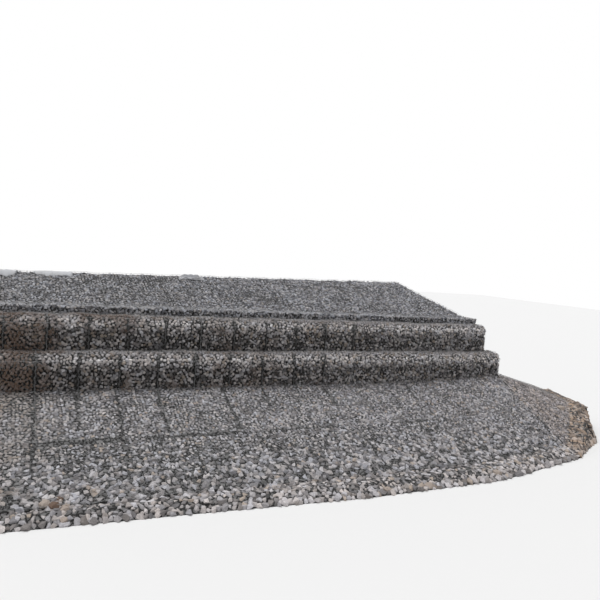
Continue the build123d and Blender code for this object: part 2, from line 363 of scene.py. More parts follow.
settling, asked, answer = new_tree(
    "settlement", "GeometryNodeTree",
    {"Vector": ("Position",), "Float": ("Amount", "Lift")}, {"Float": ("Lift",)})
wave = noise(settling, asked["Position"], WAVE_SCALE, 2.0, 0.6)
swing = maths(settling, "MULTIPLY_ADD", wave, WAVE_SWING, WAVE_DROP)
settling.links.new(maths(settling, "MULTIPLY_ADD", swing, asked["Amount"], asked["Lift"]), answer["Lift"])


def settled_lift(tree, position, amount, lift):
    inputs = {"Position": position, "Amount": amount, "Lift": lift}
    return put(tree, "GeometryNodeGroup", inputs, node_tree=settling).outputs[0]


print("settlement of mattresses", MATTRESS_SETTLING, "m and of courses", COURSE_SETTLING, "m")

# %% [markdown]
# Stones are packed against the mesh, so they follow the basket's own surface. The tree
# spreads points over a surface no closer than a given spacing, sets a stone on each, and
# turns it so that its flattest side looks outward, as the hand-packed face of a real basket
# does. Beside each diaphragm the packing breaks, which draws dark seams about a metre
# apart. They are drawn as lines on the panel's flat map, and stones on a line are dropped
# while those beside it are pulled in and marked, for the material to darken. Each stone
# also stores a tone and a warmth of its own, and how level the surface under it is. Towards
# the bottom of a panel the stones may grow coarser, and none is let down through the bed.

# %% Tree: packed stones
CROWDING = 5.0
THINNING = -1.4
LEAST_STRETCH = (0.95, 0.85, 0.62)
MOST_STRETCH = (1.3, 1.1, 0.85)
LEAN = 0.3
SEAM_DEPTH = 0.03
BED_SHARE = 0.25

packed, given, result = geometry_tree("packed_stones", {
    "Float": ("Spacing", "Smallest", "Largest", "Sink", "Width", "Height", "Seam Gap", "Seam Edge",
              "Coarse Below", "Coarse By", "Settling"),
    "Int": ("Seed",), "Object": ("Seams",), "Collection": ("Stones",), "Material": ("Material",),
})
flat_spot = put(packed, "ShaderNodeVectorMath", {
    0: stored(packed, "flat", "FLOAT_VECTOR"), 1: vector(packed, given["Width"], given["Height"]),
}, operation="MULTIPLY").outputs[0]
coarse = remap(packed, axes_of(packed, flat_spot)["Y"], 0.0, given["Coarse Below"], 1.0, 0.0)
growth = maths(packed, "MULTIPLY_ADD", coarse, given["Coarse By"], 1.0)
density = maths(packed, "DIVIDE", CROWDING, maths(packed, "MULTIPLY", given["Spacing"], given["Spacing"]))
spread = put(packed, "GeometryNodeDistributePointsOnFaces", {
    "Mesh": given["Geometry"], "Distance Min": given["Spacing"], "Density Max": density,
    "Density Factor": maths(packed, "POWER", growth, THINNING), "Seed": given["Seed"],
}, distribute_method="POISSON").outputs

drawn = put(packed, "GeometryNodeObjectInfo", {"Object": given["Seams"]})
from_seam = put(packed, "GeometryNodeProximity", {
    "Geometry": drawn.outputs["Geometry"], "Sample Position": flat_spot,
}, target_element="EDGES").outputs["Distance"]
seam_end = maths(packed, "ADD", given["Seam Gap"], given["Seam Edge"])
beside = remap(packed, from_seam, given["Seam Gap"], seam_end, 1.0, 0.0)
marked = store(packed, spread["Points"], "seam", beside)
# How level the ground is, kept for the material's painted shade on level stones.
marked = store(packed, marked, "level", axes_of(packed, spread["Normal"])["Z"])
kept = put(packed, "GeometryNodeDeleteGeometry", {
    "Geometry": marked, "Selection": maths(packed, "LESS_THAN", from_seam, given["Seam Gap"])})


def random_field(seed, low=0.0, high=1.0, kind="FLOAT"):
    inputs = {"Min": low, "Max": high, "Seed": seed}
    chance = put(packed, "FunctionNodeRandomValue", inputs, data_type=kind)
    return chance.outputs[("FLOAT_VECTOR", "FLOAT", "INT").index(kind)]


grown = maths(packed, "MULTIPLY", random_field(1, given["Smallest"], given["Largest"]), growth)
stretch = random_field(2, LEAST_STRETCH, MOST_STRETCH, "FLOAT_VECTOR")
lean = random_field(3, (-LEAN, -LEAN, 0.0), (LEAN, LEAN, 2 * pi), "FLOAT_VECTOR")
turned = put(packed, "FunctionNodeRotateRotation", {
    0: spread["Rotation"], 1: put(packed, "FunctionNodeEulerToRotation", {0: lean}).outputs[0],
}, rotation_space="LOCAL")
buried = maths(packed, "MULTIPLY", maths(packed, "MULTIPLY", grown, given["Sink"]), -1.0)
pulled_in = maths(packed, "MULTIPLY_ADD", beside, -SEAM_DEPTH, buried)
depth = settled_lift(packed, field(packed, "Position"), given["Settling"], pulled_in)
settled = moved(packed, kept.outputs[0], Offset=scaled(packed, spread["Normal"], depth))
here = axes_of(packed, field(packed, "Position"))
over_bed = maths(packed, "MAXIMUM", here["Z"], maths(packed, "MULTIPLY", grown, BED_SHARE))
on_bed = moved(packed, settled, Position=vector(packed, here["X"], here["Y"], over_bed))

shapes = put(packed, "GeometryNodeCollectionInfo", {
    "Collection": given["Stones"], "Separate Children": True, "Reset Children": True})
laid = put(packed, "GeometryNodeInstanceOnPoints", {
    "Points": on_bed, "Instance": shapes.outputs[0], "Pick Instance": True,
    "Instance Index": random_field(4, 0, STONE_SHAPES - 1, "INT"),
    "Rotation": turned.outputs[0], "Scale": scaled(packed, stretch, grown),
}).outputs[0]
for label, seed in (("tone", 5), ("warmth", 6)):
    laid = store(packed, laid, label, random_field(seed), domain="INSTANCE")
finish_tree(packed, result, laid, given["Material"])
print("packed_stones has", len(packed.nodes), "nodes")

# %% [markdown]
# The mesh of a gabion is hexagonal, with the wires twisted together along two sides of each
# cell. Flat, it is a grid whose rows zigzag, with every other upright left out. The first
# half of the tree draws that: a grid as wide and high as the panel, whose edges are marked
# as long wires (0), twists (1) or left out (2).

# %% Tree: wire net, drawn flat
NET_CELL = 0.1
NET_ROW = 0.085
NET_ZIGZAG = 0.035
LONG_WIRE, TWISTED = 0.0, 1.0

net, given, result = geometry_tree("wire_net", {
    "Float": ("Width", "Height", "Lift", "Settling", "Wire", "Twist"), "Material": ("Material",)})


def count_along(length, step):
    return maths(net, "ADD", maths(net, "FLOOR", maths(net, "DIVIDE", length, step)), 1.0)


def span(count, step):
    return maths(net, "MULTIPLY", maths(net, "SUBTRACT", count, 1.0), step)


columns = count_along(given["Width"], NET_CELL / 2)
rows = count_along(given["Height"], NET_ROW)
flat = put(net, "GeometryNodeMeshGrid", {
    "Size X": span(columns, NET_CELL / 2), "Size Y": span(rows, NET_ROW),
    "Vertices X": columns, "Vertices Y": rows,
}).outputs["Mesh"]
index = field(net, "Index")
column = maths(net, "FLOOR", maths(net, "DIVIDE", maths(net, "ADD", index, 0.5), rows))
row = maths(net, "SUBTRACT", index, maths(net, "MULTIPLY", column, rows))
odd = maths(net, "FLOORED_MODULO", maths(net, "ADD", column, row), 2.0)
shift = maths(net, "MULTIPLY", maths(net, "SUBTRACT", 0.5, odd), NET_ZIGZAG)
marked = store(net, store(net, flat, "odd", odd), "row", row)
wires = put(net, "GeometryNodeDeleteGeometry", {
    "Geometry": moved(net, marked, Offset=vector(net, y=shift)), "Selection": True,
}, domain="FACE", mode="ONLY_FACE")
ends = put(net, "GeometryNodeInputMeshEdgeVertices").outputs


def at_end(name, end):
    return put(net, "GeometryNodeSampleIndex", {
        "Geometry": marked, "Value": stored(net, name), "Index": ends[end],
    }, data_type="FLOAT", domain="POINT").outputs[0]


row_step = maths(net, "SUBTRACT", at_end("row", 1), at_end("row", 0))
upright = maths(net, "GREATER_THAN", maths(net, "ABSOLUTE", row_step), 0.5)
lower_odd = maths(
    net, "ADD",
    maths(net, "MULTIPLY", at_end("odd", 0), maths(net, "GREATER_THAN", row_step, 0.0)),
    maths(net, "MULTIPLY", at_end("odd", 1), maths(net, "LESS_THAN", row_step, 0.0)))
kind = maths(net, "ADD", upright, maths(net, "MULTIPLY", upright, lower_odd))
kinds = store(net, wires.outputs[0], "kind", kind, domain="EDGE")
print("cells", NET_CELL, "m across, in rows of", NET_ROW, "m")

# %% [markdown]
# The second half lays the flat net over a surface by the surface's own flat map, which is
# measured in metres, so a net drawn flat wraps round a rounded lip without stretching. What
# falls beside the panel is trimmed away. Long zigzag wires and short twisted bars are then
# given three-sided thickness.

# %% Tree: wire net, laid over a panel
spot = axes_of(net, field(net, "Position"))
map_u = maths(net, "ADD", maths(net, "DIVIDE", spot["X"], given["Width"]), 0.5)
map_v = maths(net, "ADD", maths(net, "DIVIDE", spot["Y"], given["Height"]), 0.5)
flat_map = stored(net, "flat", "FLOAT_VECTOR")
lookup = vector(net, map_u, map_v)


def on_surface(what):
    return put(net, "GeometryNodeSampleUVSurface", {
        "Mesh": given["Geometry"], "Value": field(net, what), "UV Map": flat_map, "Sample UV": lookup,
    }, data_type="FLOAT_VECTOR").outputs


landing = on_surface("Position")
lift = settled_lift(net, landing[0], given["Settling"], given["Lift"])
raised = put(net, "ShaderNodeVectorMath", {
    0: on_surface("Normal")[0], 1: lift, 2: landing[0]}, operation="MULTIPLY_ADD").outputs[0]
missed = put(net, "FunctionNodeBooleanMath", {0: landing[1]}, operation="NOT").outputs[0]
draped = moved(net, store(net, kinds, "missed", missed, "BOOLEAN"), Position=raised)
trimmed = put(net, "GeometryNodeDeleteGeometry", {
    "Geometry": draped, "Selection": stored(net, "missed", "BOOLEAN")}, domain="POINT").outputs[0]


def strands(kind, radius):
    chosen = maths(net, "COMPARE", stored(net, "kind"), kind, 0.1)
    return thicken(net, put(net, "GeometryNodeMeshToCurve", {
        "Mesh": trimmed, "Selection": chosen}).outputs[0], 3, radius)


both = joined(net, strands(LONG_WIRE, given["Wire"]), strands(TWISTED, given["Twist"]))
finish_tree(net, result, both, given["Material"])
print("wire_net has", len(net.nodes), "nodes")

# %% [markdown]
# Thicker wires frame every panel, and at each diaphragm the mesh is laced down. Those lines
# are already in the CAD mesh: they are the open borders of a panel and the creases where
# two swollen cells meet. The tree picks such edges by their angle, lifts them to the level
# of the net, thickens them, and threads steel rings on them at an even spacing.

# %% Tree: edge wires and rings
EDGE_STEP = 0.25

edges, given, result = geometry_tree("edge_wires", {
    "Float": ("Lift", "Settling", "Wire", "Crease", "Ring Spacing", "Ring Radius"),
    "Material": ("Material",)})
border = maths(edges, "COMPARE", field(edges, "MeshEdgeNeighbors"), 1.0, 0.1)
crease = maths(edges, "GREATER_THAN", field(edges, "MeshEdgeAngle"), given["Crease"])
facing = store(edges, given["Geometry"], "facing", field(edges, "Normal"), "FLOAT_VECTOR")
chosen = put(edges, "GeometryNodeMeshToCurve", {
    "Mesh": facing, "Selection": maths(edges, "MAXIMUM", border, crease)})
stepped = put(edges, "GeometryNodeResampleCurve", {
    "Curve": chosen.outputs[0], "Length": EDGE_STEP}, mode="LENGTH")
lift = settled_lift(edges, field(edges, "Position"), given["Settling"], given["Lift"])
lines = moved(edges, stepped.outputs[0], Offset=scaled(edges, stored(edges, "facing", "FLOAT_VECTOR"), lift))
rods = thicken(edges, lines, 4, given["Wire"])
beads = put(edges, "GeometryNodeCurveToPoints", {
    "Curve": lines, "Length": given["Ring Spacing"]}, mode="LENGTH").outputs
hoop = put(edges, "GeometryNodeCurvePrimitiveCircle", {"Resolution": 6, "Radius": given["Ring Radius"]})
rings = put(edges, "GeometryNodeInstanceOnPoints", {
    "Points": beads[0], "Rotation": beads["Rotation"],
    "Instance": thicken(edges, hoop.outputs[0], 3, given["Wire"], caps=False)})
finish_tree(edges, result, joined(edges, rods, rings.outputs[0]), given["Material"])
print("edge_wires has", len(edges.nodes), "nodes")

# %% [markdown]
# The stones are all one crushed grey rock with a few tan pieces, darker and browner where
# soil has washed over them. Towards a given height, at the rounded lips of the courses, the
# tones draw together and grow paler and brighter: painted light where the lips catch the sky. One shader
# group turns the stored tone and warmth into that colour, so every stone finish is the same group with its
# own values.

# %% Shader group: crushed rock
PALEST_STONE = (0.8, 0.78, 0.77, 1)
COOL_CAST = (0.95, 0.98, 1.05, 1)
WARM_CAST = (1.05, 1.0, 0.96, 1)
TAN_STRENGTH = 0.8
GRAIN_SCALE = 38.0
DARK_GRAIN, PALE_GRAIN = 0.72, 1.22
PIT_SCALE = 90.0
PIT_DEPTH = 0.35
PATCH_SCALE = 0.75
PATCH_EDGE, PATCH_HEART = 0.46, 0.6

rock, given, result = new_tree("crushed_rock", "ShaderNodeTree", {
    "Color": ("Dark", "Light", "Tan", "Stain"),
    "Float": ("Tan Share", "Stain Amount", "Stain From", "Stain To", "Seam Shade", "Top Tone",
              "Lip Start", "Lip End", "Lip Tone", "Lip Wash", "Face Tone"),
}, {"Color": ("Color",), "Float": ("Height", "Roughness")})
coords = put(rock, "ShaderNodeTexCoord").outputs["Object"]
tone, warmth, beside_seam, level = [
    put(rock, "ShaderNodeAttribute", attribute_name=name).outputs["Fac"]
    for name in ("tone", "warmth", "seam", "level")]
spot = axes_of(rock, coords)

# Painted light: towards the lip height the tones are pulled paler and brightened, as where a rounded lip
# catches the sky.
near_lip = remap(rock, spot["Z"], given["Lip Start"], given["Lip End"], interpolation_type="SMOOTHSTEP")
short_of_pale = maths(rock, "MULTIPLY", near_lip, maths(rock, "SUBTRACT", 1.0, tone))
body_tone = maths(rock, "MULTIPLY_ADD", short_of_pale, given["Lip Wash"], tone)
body = blend_colour(rock, body_tone, given["Dark"], given["Light"])
is_tan = maths(rock, "GREATER_THAN", warmth, maths(rock, "SUBTRACT", 1.0, given["Tan Share"]))
mixed = blend_colour(rock, maths(rock, "MULTIPLY", is_tan, TAN_STRENGTH), body, given["Tan"])
tinted = blend_colour(rock, 1.0, mixed, blend_colour(rock, warmth, COOL_CAST, WARM_CAST), "MULTIPLY")

fine = noise(rock, coords, GRAIN_SCALE, 4.0, 0.6)
grain = remap(rock, fine, 0.3, 0.7, DARK_GRAIN, PALE_GRAIN)
seam_tone = maths(rock, "MULTIPLY_ADD", beside_seam, maths(rock, "MULTIPLY", given["Seam Shade"], -1.0), 1.0)
# Painted shade: level stones such as the treads are darkened, and so is the face below the lip; the lip is
# brightened by painted light.
level_shade = maths(rock, "MULTIPLY_ADD", level, given["Top Tone"], 1.0)
face_shade = maths(rock, "ADD", given["Face Tone"], 1.0)
lip_light = maths(rock, "MULTIPLY_ADD", near_lip, given["Lip Tone"], face_shade)
painted_light_and_shade = maths(rock, "MULTIPLY", level_shade, lip_light)
shade = maths(rock, "MULTIPLY", maths(rock, "MULTIPLY", grain, seam_tone), painted_light_and_shade)
shaded = blend_colour(rock, 1.0, tinted, grey(rock, shade), "MULTIPLY")
clean = blend_colour(rock, 1.0, shaded, PALEST_STONE, "DARKEN")

patch = remap(rock, noise(rock, coords, PATCH_SCALE, 3.0, 0.65), PATCH_EDGE, PATCH_HEART)
fade = remap(rock, spot["X"], given["Stain From"], given["Stain To"], 1.0, 0.0)
stained = maths(rock, "MULTIPLY", maths(rock, "MULTIPLY", patch, fade), given["Stain Amount"])
pits = maths(rock, "MULTIPLY", noise(rock, coords, PIT_SCALE, 3.0), PIT_DEPTH)
for label, value in (
    ("Color", blend_colour(rock, stained, clean, given["Stain"])),
    ("Height", maths(rock, "ADD", fine, pits)),
    ("Roughness", remap(rock, fine, 0.0, 1.0, 0.78, 0.98)),
):
    rock.links.new(value, result[label])
print("crushed_rock has", len(rock.nodes), "nodes")

# %% [markdown]
# A material is one group, one bump and one Principled shader. The stone finishes differ by
# place: the mattresses are washed clean and pale; the upright faces are darker below their
# pale lips, partly dirt and partly painted shade, with painted light on the lips, painted shade
# on the treads and rust brown patches towards the left; the loose rock at the water is tan in places.

# %% Stone finishes
def principled(name, colour=None, rough=0.9, metal=0.0):
    material = bpy.data.materials.new(name)
    material.use_nodes = True
    shader = material.node_tree.nodes["Principled BSDF"]
    shader.inputs["Roughness"].default_value = rough
    shader.inputs["Metallic"].default_value = metal
    shader.inputs["Specular IOR Level"].default_value = 0.3
    if colour:
        shader.inputs["Base Color"].default_value = colour
    return material, material.node_tree, shader


def bump(tree, shader, height, strength, distance):
    relief = put(tree, "ShaderNodeBump", {"Strength": strength, "Distance": distance, "Height": height})
    tree.links.new(relief.outputs[0], shader.inputs["Normal"])


def stone_finish(name, values):
    material, tree, shader = principled(name)
    surface = put(tree, "ShaderNodeGroup", values, node_tree=rock).outputs
    tree.links.new(surface["Color"], shader.inputs["Base Color"])
    tree.links.new(surface["Roughness"], shader.inputs["Roughness"])
    bump(tree, shader, surface["Height"], strength=0.6, distance=0.006)
    return material


RUST = (0.12, 0.078, 0.055, 1)
SOIL = (0.16, 0.12, 0.085, 1)
SAND = (0.33, 0.275, 0.225, 1)
# On the walls the level treads and the faces are darkened by painted shade, and the lips are brightened by
# painted light.
WALL = {
    "Dark": (0.03, 0.027, 0.026, 1), "Light": (0.585, 0.56, 0.553, 1), "Tan": (0.27, 0.238, 0.205, 1),
    "Tan Share": 0.06, "Stain": RUST, "Stain Amount": 0.85, "Stain From": -7.2, "Stain To": 4.0,
    "Seam Shade": 0.7, "Top Tone": -0.62, "Lip Tone": 0.95, "Lip Wash": 0.5, "Face Tone": -0.22,
}
apron_stone = stone_finish("apron_stone", {
    "Dark": (0.165, 0.158, 0.162, 1), "Light": (0.60, 0.585, 0.595, 1), "Tan": (0.42, 0.37, 0.33, 1),
    "Tan Share": 0.04, "Stain": SAND, "Stain Amount": 0.7, "Stain From": -7.9, "Stain To": -6.2,
    "Seam Shade": 0.4,
})
fan_stone = stone_finish("fan_stone", {
    "Dark": (0.155, 0.138, 0.133, 1), "Light": (0.58, 0.53, 0.515, 1), "Tan": (0.42, 0.37, 0.33, 1),
    "Tan Share": 0.08, "Seam Shade": 0.4,
})
bank_stone = stone_finish("bank_stone", {
    "Dark": (0.11, 0.111, 0.12, 1), "Light": (0.53, 0.532, 0.553, 1), "Tan": (0.36, 0.345, 0.33, 1),
    "Tan Share": 0.02, "Stain": SOIL, "Stain Amount": 0.1, "Stain From": -8.0, "Stain To": 8.0,
    "Seam Shade": 0.5,
})
lower_wall_stone = stone_finish("lower_wall_stone", {
    **WALL, "Lip Start": UPPER_FLOOR - 0.45, "Lip End": UPPER_FLOOR - 0.08})
upper_wall_stone = stone_finish("upper_wall_stone", {
    **WALL, "Lip Start": WALL_TOP - 0.4, "Lip End": WALL_TOP - 0.08})
buried_stone = stone_finish("buried_stone", {
    "Dark": (0.07, 0.065, 0.063, 1), "Light": (0.40, 0.385, 0.38, 1), "Tan": (0.27, 0.235, 0.2, 1),
    "Tan Share": 0.06, "Stain": SOIL, "Stain Amount": 0.5, "Stain From": 10.0, "Stain To": -10.0,
})
toe_stone = stone_finish("toe_stone", {
    "Dark": (0.17, 0.159, 0.155, 1), "Light": (0.62, 0.59, 0.583, 1), "Tan": (0.42, 0.37, 0.325, 1),
    "Tan Share": 0.05, "Stain": SOIL, "Stain Amount": 0.2, "Stain From": 12.0, "Stain To": 4.0,
})
fan_toe_stone = stone_finish("fan_toe_stone", {
    "Dark": (0.10, 0.08, 0.067, 1), "Light": (0.55, 0.465, 0.40, 1), "Tan": (0.38, 0.3, 0.24, 1),
    "Tan Share": 0.25, "Stain": SOIL, "Stain Amount": 0.25, "Stain From": 12.0, "Stain To": 6.0,
})
rust_rock = stone_finish("rust_rock", {
    "Dark": (0.10, 0.06, 0.04, 1), "Tan": (0.17, 0.112, 0.08, 1), "Tan Share": 2.0})
tan_rock = stone_finish("tan_rock", {
    "Dark": (0.28, 0.23, 0.18, 1), "Tan": (0.42, 0.345, 0.285, 1), "Tan Share": 2.0})
print("ten stone finishes")

# %% [markdown]
# Behind the outer stones the CAD solids stand for the rest of the fill. They show only in
# the gaps and on the hidden sides, so their finish is painted shadow, stone in shade: a Voronoi
# pattern gives each stone its own tone and a rounded height, and its cell borders go dark as
# painted shade in the cracks. Behind a lip the fill is paler too, painted light like the lip's.

# %% Finish of the fill behind
FILL_SCALE = 9.0
CRACK_EDGE, STONE_EDGE = 0.02, 0.16
CRACK_DARKNESS = 0.85
# Painted light: behind a lip the fill grows paler towards the lip height.
LIP_LIGHT_START, LIP_LIGHT_END = 0.4, 0.05
LIP_LIT_FILL = (0.15, 0.147, 0.145, 1)
# Painted shadow: the fill in the walls is nearly black, as stone deep in shade.
SHADOWED_FILL = ((0.012, 0.011, 0.01, 1), (0.05, 0.046, 0.044, 1))


def fill_finish(name, dark, light, lip=None):
    material, tree, shader = principled(name, rough=0.95)
    coords = put(tree, "ShaderNodeTexCoord").outputs["Object"]
    cells = put(tree, "ShaderNodeTexVoronoi", {"Vector": coords, "Scale": FILL_SCALE})
    borders = put(tree, "ShaderNodeTexVoronoi", {
        "Vector": coords, "Scale": FILL_SCALE}, feature="DISTANCE_TO_EDGE")
    inside = remap(tree, borders.outputs[0], CRACK_EDGE, STONE_EDGE)
    each = put(tree, "ShaderNodeSeparateColor", {0: cells.outputs["Color"]}).outputs[0]
    colour = blend_colour(tree, each, dark, light)
    # Painted light: the fill behind a lip grows paler towards the lip height.
    if lip:
        lip_lit = remap(tree, axes_of(tree, coords)["Z"], lip - LIP_LIGHT_START, lip - LIP_LIGHT_END)
        colour = blend_colour(tree, lip_lit, colour, LIP_LIT_FILL)
    cracked = blend_colour(tree, CRACK_DARKNESS, colour, grey(tree, inside), "MULTIPLY")
    tree.links.new(cracked, shader.inputs["Base Color"])
    bump(tree, shader, inside, strength=0.9, distance=0.03)
    return material


fills = {
    "lower_course": fill_finish("fill_in_lower", *SHADOWED_FILL, UPPER_FLOOR),
    "upper_course": fill_finish("fill_in_upper", *SHADOWED_FILL, WALL_TOP),
    "course": fill_finish("fill_in_wall", *SHADOWED_FILL),
    "bank": fill_finish("fill_in_bank", (0.03, 0.029, 0.029, 1), (0.11, 0.108, 0.108, 1)),
    "": fill_finish("fill_in_apron", (0.065, 0.064, 0.064, 1), (0.2, 0.197, 0.197, 1)),
}
for name, node in frame["nodes"].items():
    node.data.materials.clear()
    node.data.materials.append(next(finish for part, finish in fills.items() if part in name))
print("fill finish on", len(frame["nodes"]), "nodes")

# %% [markdown]
# The wire is galvanised steel that has gone dull: a grey that is half metal, mottled by a
# noise, with the odd brown fleck where the zinc has worn through.

# %% Wire finish
ZINC_PALE = (0.42, 0.425, 0.43, 1)
ZINC_DULL = (0.2, 0.2, 0.205, 1)
MOTTLE_SCALE = 14.0
FLECK_EDGE, FLECK_HEART = 0.62, 0.72


def wire_finish(name):
    material, tree, shader = principled(name, rough=0.55, metal=0.55)
    mottle = noise(tree, put(tree, "ShaderNodeTexCoord").outputs["Object"], MOTTLE_SCALE, 3.0)
    zinc = blend_colour(tree, mottle, ZINC_PALE, ZINC_DULL)
    worn = remap(tree, mottle, FLECK_EDGE, FLECK_HEART)
    tree.links.new(blend_colour(tree, worn, zinc, RUST), shader.inputs["Base Color"])
    return material


wire_grey = wire_finish("wire_grey")
floor.data.materials.append(principled("stage_floor", (0.8, 0.8, 0.8, 1))[0])
print("wire and floor finishes")

# %% [markdown]
# A panel is the part of some baskets' surface that faces one way, such as all the lids of
# a row. Its skin is copied from the CAD meshes, with doubles merged, so that stones and
# wire follow the true shape, crowns and all. Each panel also gets its flat map, the
# distance along the wall and round the profile, in shares of the panel's size. Next to its
# neighbour each basket is drawn in by a few millimetres, so that both have edges of their
# own.

# %% Helper: the skin of a panel
SELVEDGE_GAP = 0.004
SHORTEST_BASKET = 0.4
EVERYWHERE = ((-FAR, -FAR, -FAR), (FAR, FAR, FAR))
Panel = namedtuple("Panel", "name mesh corner width height area")


def cut_to_box(part, box):
    for axis in range(3):
        for corner, sign in zip(box, (-1, 1)):
            at, away = Vector((0, 0, 0)), Vector((0, 0, 0))
            at[axis] = corner[axis]
            away[axis] = sign
            everything = part.verts[:] + part.edges[:] + part.faces[:]
            bmesh.ops.bisect_plane(part, geom=everything, plane_co=at, plane_no=away, clear_outer=True)


def draw_in(part):
    places = [vertex.co.x for vertex in part.verts] or [0]
    middle, half = (max(places) + min(places)) / 2, (max(places) - min(places)) / 2
    if half > SHORTEST_BASKET / 2:
        for vertex in part.verts:
            vertex.co.x = middle + (vertex.co.x - middle) * (1 - SELVEDGE_GAP / half)


def skin(name, nodes, wanted, unroll, keep_box=EVERYWHERE):
    whole = bmesh.new()
    for node in nodes:
        part = bmesh.new()
        part.from_mesh(frame["nodes"][node].data)
        bmesh.ops.remove_doubles(part, verts=part.verts, dist=1e-5)
        part.normal_update()
        drop = [face for face in part.faces if not wanted(face.normal, face.calc_center_median())]
        bmesh.ops.delete(part, geom=drop, context="FACES")
        cut_to_box(part, keep_box)
        draw_in(part)
        scrap = bpy.data.meshes.new("scrap")
        part.to_mesh(scrap)
        part.free()
        whole.from_mesh(scrap)
        bpy.data.meshes.remove(scrap)
    mesh = bpy.data.meshes.new(name + "_skin")
    whole.to_mesh(mesh)
    whole.free()
    spots = np.array([unroll(vertex.co) for vertex in mesh.vertices])
    low, high = spots.min(0), spots.max(0)
    shares = (spots - low) / (high - low)
    flat_layer = mesh.uv_layers.new(name="flat")
    for loop in mesh.loops:
        flat_layer.data[loop.index].uv = shares[loop.vertex_index]
    area = sum(face.area for face in mesh.polygons)
    return Panel(name, mesh, low, float(high[0] - low[0]), float(high[1] - low[1]), area)


print("skins keep", SELVEDGE_GAP, "m between two baskets' edges")

# %% [markdown]
# Seams are drawn on the flat map, as polylines with a shaky hand. A line may be drawn
# several times side by side, so that more stones are dropped from it. Where a panel has no
# seam, one line far away stands in, because a distance needs something to be measured to.

# %% Helper: seam lines
SEAM_STEP = 0.1
SEAM_SHAKE = 0.014
SEAM_PITCH = 0.035


def seam_lines(panel, lines, seed):
    draw = np.random.default_rng(seed)
    points, pairs = [(-FAR, -FAR, 0), (1 - FAR, -FAR, 0)], [(0, 1)]
    for start, end, strands in lines:
        start, end = np.array(start) - panel.corner, np.array(end) - panel.corner
        length = float(np.hypot(*(end - start)))
        across = np.array([start[1] - end[1], end[0] - start[0]]) / length
        steps = max(2, round(length / SEAM_STEP))
        for strand in range(strands):
            shift = (strand - (strands - 1) / 2) * SEAM_PITCH
            for k in range(steps + 1):
                at = start + (end - start) * k / steps + across * (shift + draw.normal(0, SEAM_SHAKE))
                points.append((at[0], at[1], 0))
                if k:
                    pairs.append((len(points) - 2, len(points) - 1))
    mesh = bpy.data.meshes.new(panel.name + "_seams")
    mesh.from_pydata(points, pairs, [])
    return add_object(mesh.name, mesh)


def ties(first, last, height, strong):
    places = [first + k * CELL for k in range(int(last - first) + 1)]
    return [((x, 0.0), (x, height), 2 if x in strong else 1) for x in places]


print("lines of one seam are", SEAM_PITCH, "m apart")

# %% [markdown]
# Now each panel is dressed with the same three layers, and the counts show what it costs.
# The net and the edge wires stand a few centimetres proud, just outside the stones.

# %% Helper: dress a panel
NET_LIFT = 0.04
WIRE = 0.0015
TWIST = 0.0024
EDGE_WIRE = 0.0028
EDGE_CREASE = radians(12)
RING_SPACING = 0.3
RING_RADIUS = 0.016
FINE = {"Spacing": 0.063, "Smallest": 0.074, "Largest": 0.122}
counts = {}


def numbered(*stems):
    return [n for stem in stems for n in sorted(frame["nodes"]) if n.startswith(stem)]


def keep_piece(piece):
    piece.data.polygons.foreach_set("use_smooth", [False] * len(piece.data.polygons))
    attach(piece, "root")
    counts[piece.name] = sum(len(face.vertices) - 2 for face in piece.data.polygons)


def stones_on(panel, name, finish, seed, values, lines=()):
    drawing = seam_lines(panel, lines, seed)
    settings = {
        "Sink": 0.2, "Seam Gap": 0.024, "Seam Edge": 0.03, "Coarse Below": 0.001, "Coarse By": 0.0,
        "Settling": MATTRESS_SETTLING, "Width": panel.width, "Height": panel.height,
        "Seams": drawing, "Seed": seed, "Stones": stone_shapes, "Material": finish, **values,
    }
    keep_piece(grow(name, panel.mesh.copy(), packed, settings))
    bpy.data.objects.remove(drawing)
    print(name, round(panel.area, 1), "square metres", counts[name], "triangles")


def wires_on(panel, settling=MATTRESS_SETTLING, netted=True):
    shared = {"Lift": NET_LIFT, "Settling": settling, "Material": wire_grey}
    if netted:
        keep_piece(grow(panel.name + "_net", panel.mesh.copy(), net, {
            **shared, "Width": panel.width, "Height": panel.height, "Wire": WIRE, "Twist": TWIST}))
    keep_piece(grow(panel.name + "_edges", panel.mesh.copy(), edges, {
        **shared, "Wire": EDGE_WIRE, "Crease": EDGE_CREASE,
        "Ring Spacing": RING_SPACING, "Ring Radius": RING_RADIUS}))
    print(panel.name, "net", counts.get(panel.name + "_net"), "edges", counts[panel.name + "_edges"])


print("net stands", NET_LIFT, "m out from the solids")

# %% [markdown]
# The apron is the largest thing in view: two rows of mattress lids that run down to the
# water. Its lids are the faces that look up. The flat map runs down the slope. Two of its
# seams run on through both rows, the joint between the rows is ragged, and the lower row
# grows coarser towards the water.

# %% Apron
ROW_JOINT = -2.05


def down_slope(spot):
    return spot.x, -hypot(spot.y, spot.z - FOOT_HEIGHT)


def looks_up(normal, centre):
    return normal.z > 0.5


row_joint = [((start, ROW_JOINT), (end, ROW_JOINT), strands) for start, end, strands in (
    (-7.0, -5.2, 5), (-4.6, -2.2, 2), (-1.4, 0.6, 1), (2.5, 4.0, 1))]
long_ties = [((-7.0, -0.1), (-7.1, -3.1), 1), ((-5.07, -0.1), (-5.2, -3.4), 1)]
short_ties = [((x, -0.15), (x - 0.04, reach), 1) for x, reach in (
    (-6.05, -1.6), (-4.0, -1.9), (-2.2, -1.9), (-1.0, -0.9), (1.0, -1.2), (4.0, -1.0))]

for row, lines, values, seed in (
    ("upper", long_ties + short_ties + row_joint, FINE, 11),
    ("lower", long_ties + row_joint, {**FINE, "Coarse Below": 1.5, "Coarse By": 0.9}, 12),
):
    panel = skin("apron_" + row, numbered(f"apron_{row}_mattress_"), looks_up, down_slope)
    stones_on(panel, panel.name + "_stones", apron_stone, seed, values, lines)
    wires_on(panel)

